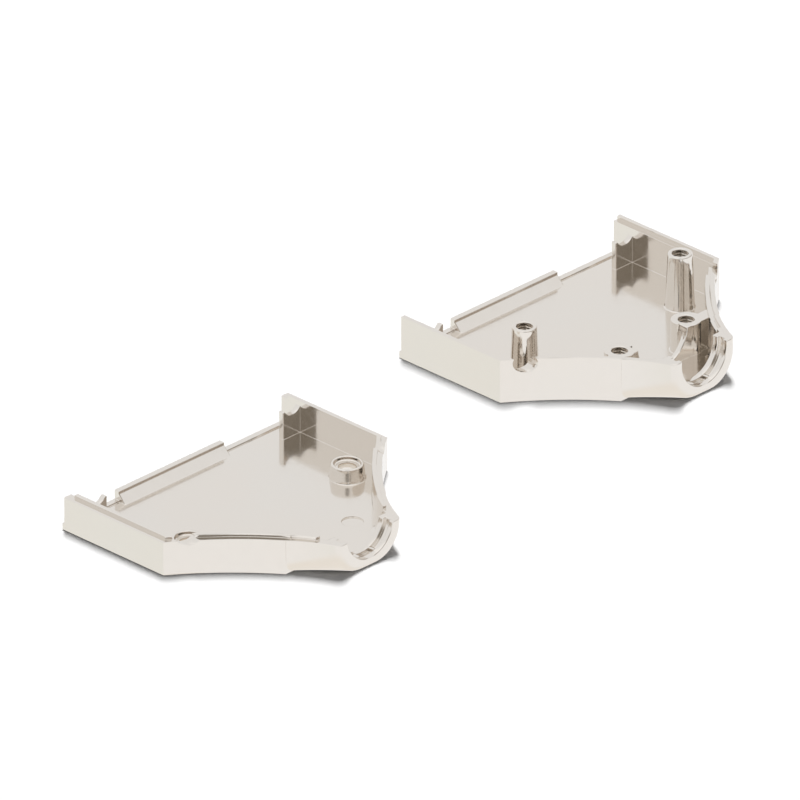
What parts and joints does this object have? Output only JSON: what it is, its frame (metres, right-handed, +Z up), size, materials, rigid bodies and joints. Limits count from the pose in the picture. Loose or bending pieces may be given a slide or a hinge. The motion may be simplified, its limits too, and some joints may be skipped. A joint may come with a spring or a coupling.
{
  "type": "d-sub connector hood",
  "caption": "Straight-exit die-cast metal hood for a 25-way D-sub connector, laid open: tongued half with screw bosses and grooved half with threaded posts and cable clamp seat.",
  "frame": {"origin": "on the ground below the middle of the box round both halves as they lie", "axes": "+X from the threaded half to the screw half, across the cables; +Y from the connector front to the cable exit; +Z up, out of the open halves"},
  "size_m": [0.1392, 0.0502, 0.0113],
  "materials": {
    "nickel_plating": "bright nickel plating on zinc"
  },
  "bodies": {
    "root": {"screw_half_shell": "nickel_plating", "threaded_half_shell": "nickel_plating"}
  },
  "joints": []
}
